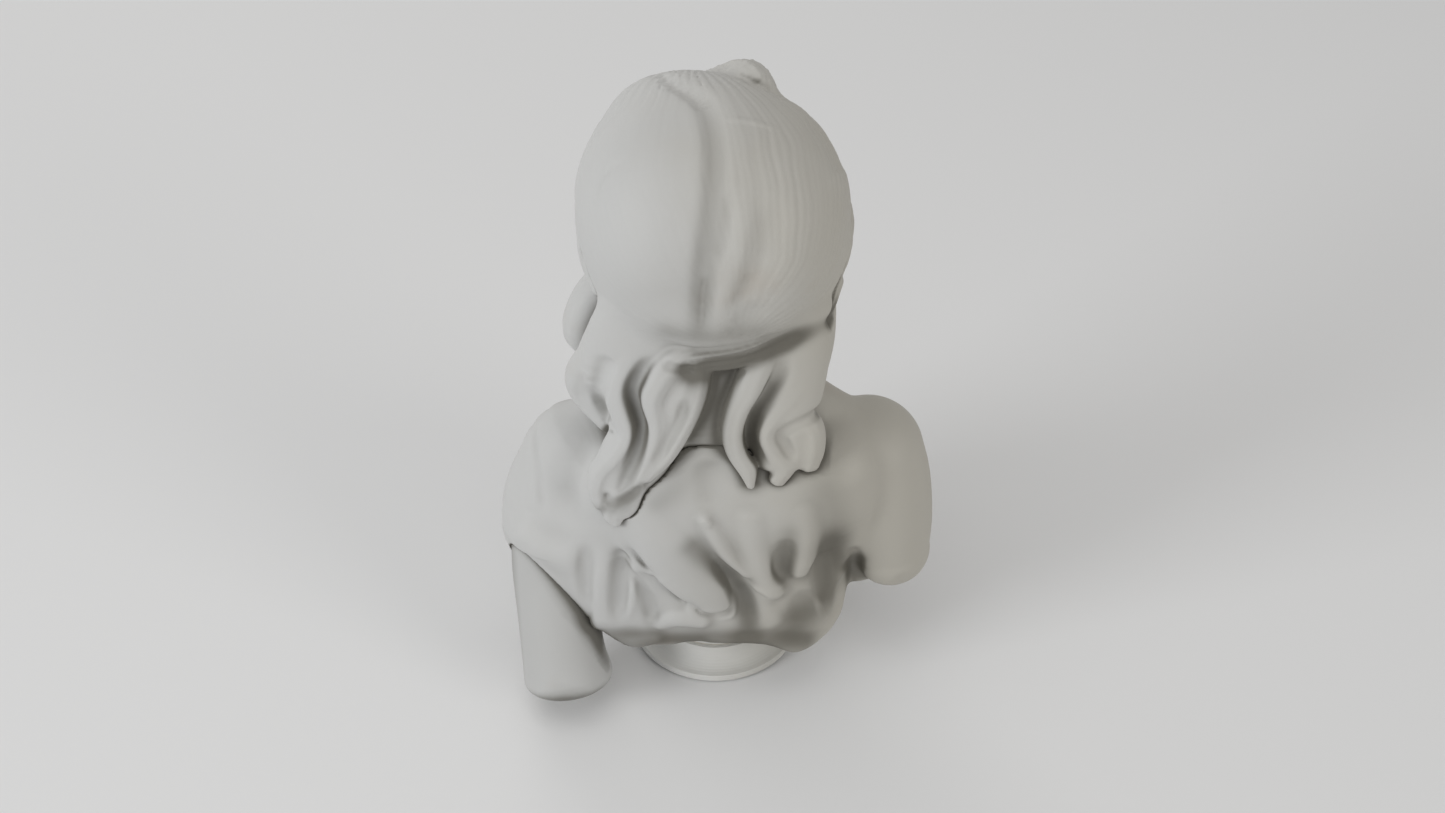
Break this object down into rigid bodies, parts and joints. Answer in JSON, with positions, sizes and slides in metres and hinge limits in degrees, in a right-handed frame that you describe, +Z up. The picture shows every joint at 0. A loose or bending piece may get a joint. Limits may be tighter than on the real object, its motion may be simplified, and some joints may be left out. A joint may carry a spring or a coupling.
{
  "type": "portrait bust",
  "caption": "Draped female marble bust with parted hair in two tails, a bare left arm stump and a round turned socle.",
  "frame": {"origin": "centre of the underside of the felt pad under the round foot", "axes": "+Z up, the chest faces -Y, the bust's own left side is +X"},
  "size_m": [0.3958, 0.2508, 0.607],
  "materials": {
    "marble": "honed, unpolished, lightly weathered",
    "mortar": "matt lime putty",
    "steel": "plain stainless, drawn",
    "bronze": "dull cast bronze",
    "felt": "dense wool felt"
  },
  "bodies": {
    "root": {"torso": "marble", "head": "marble", "left_arm": "marble", "socle_stem": "marble", "socle_foot": "marble", "head_bed": "mortar", "arm_bed": "mortar", "bust_bed": "mortar", "foot_bed": "mortar", "head_dowel": "steel", "arm_dowels": "steel", "bust_pins": "steel", "foot_pins": "steel", "tie_rod": "steel", "rod_anchor": "bronze", "rod_washer": "steel", "spring_washer": "steel", "rod_nut": "steel", "felt_pad": "felt"}
  },
  "joints": []
}
